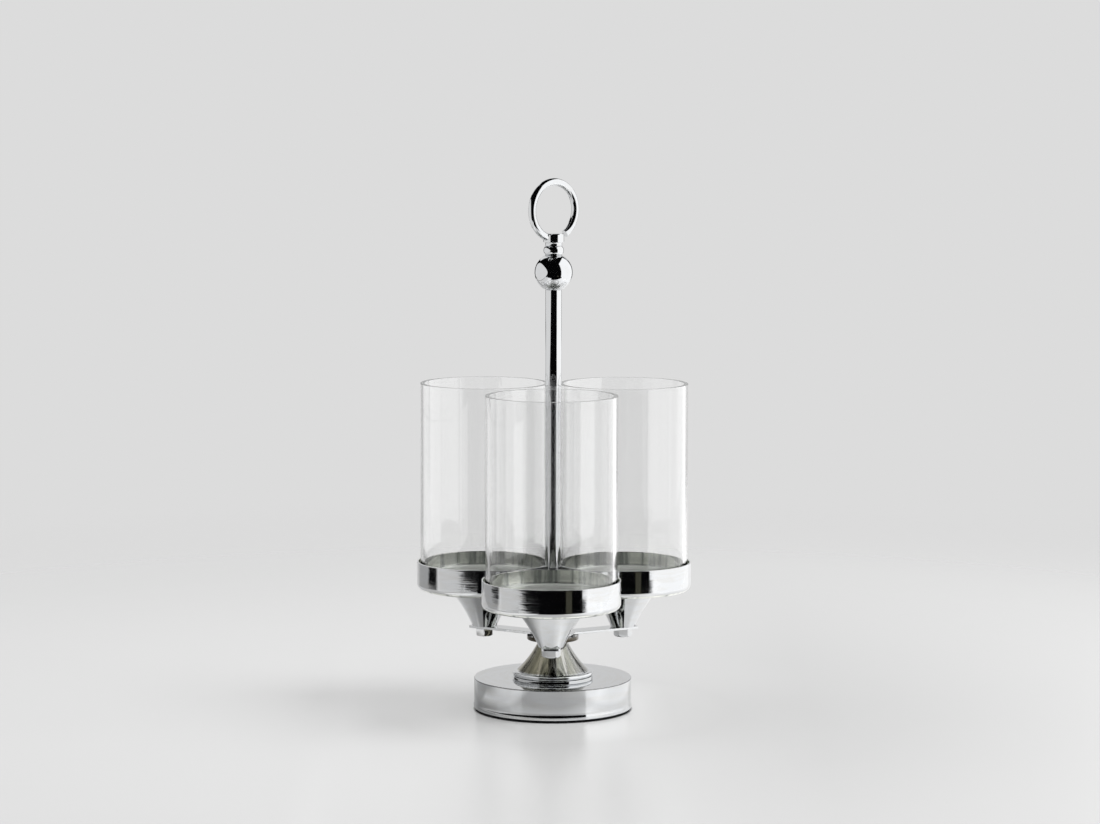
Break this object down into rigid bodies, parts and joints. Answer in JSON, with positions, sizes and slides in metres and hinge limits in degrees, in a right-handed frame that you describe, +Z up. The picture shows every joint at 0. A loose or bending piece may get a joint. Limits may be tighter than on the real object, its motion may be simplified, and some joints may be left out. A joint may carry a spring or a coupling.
{
  "type": "candle holder",
  "caption": "Polished chrome table candle holder: round felted base, trumpet pedestal, arms with glass chimneys in dishes, and a rod with a ball and carrying ring.",
  "frame": {"origin": "centre of the felt's underside, on the rod's axis and on the table top", "axes": "+Z up along the rod, -Y from the rod to the front cup, +X to the right as seen from the front"},
  "size_m": [0.171, 0.1594, 0.3285],
  "materials": {
    "chrome": "bright polished chrome plate",
    "felt": "black pressed felt",
    "iron": "raw casting, hidden in the base",
    "zinc_steel": "zinc-plated fasteners",
    "clear_glass": "clear, fire-polished rims"
  },
  "bodies": {
    "stand": {"felt_pad": "felt", "base_shell": "chrome", "base_weight": "iron", "tie_washer": "zinc_steel", "tie_nut": "zinc_steel", "tie_rod": "zinc_steel", "foot_ring": "chrome", "pedestal_cone": "chrome", "hub_disc": "chrome", "spider_plate": "chrome", "centre_rod": "chrome", "rod_socket": "zinc_steel", "rod_plug": "zinc_steel", "finial_stud": "zinc_steel", "finial_ball": "chrome", "finial_bead": "chrome", "finial_collar": "chrome", "ring_handle": "chrome", "cup_cone_front": "chrome", "dish_front": "chrome", "pan_front": "chrome", "cup_cone_right": "chrome", "dish_right": "chrome", "pan_right": "chrome", "cup_cone_left": "chrome", "dish_left": "chrome", "pan_left": "chrome", "arm_bolts": "chrome", "dish_washers": "zinc_steel", "dish_nuts": "zinc_steel"},
    "front_glass": {"glass_front": "clear_glass"},
    "right_glass": {"glass_right": "clear_glass"},
    "left_glass": {"glass_left": "clear_glass"}
  },
  "joints": [
    {"name": "lift_front_glass", "type": "slide", "parent": "stand", "child": "front_glass", "axis": [0, 0, 1], "range_m": [0, 0.06]},
    {"name": "lift_right_glass", "type": "slide", "parent": "stand", "child": "right_glass", "axis": [0, 0, 1], "range_m": [0, 0.06]},
    {"name": "lift_left_glass", "type": "slide", "parent": "stand", "child": "left_glass", "axis": [0, 0, 1], "range_m": [0, 0.06]}
  ]
}
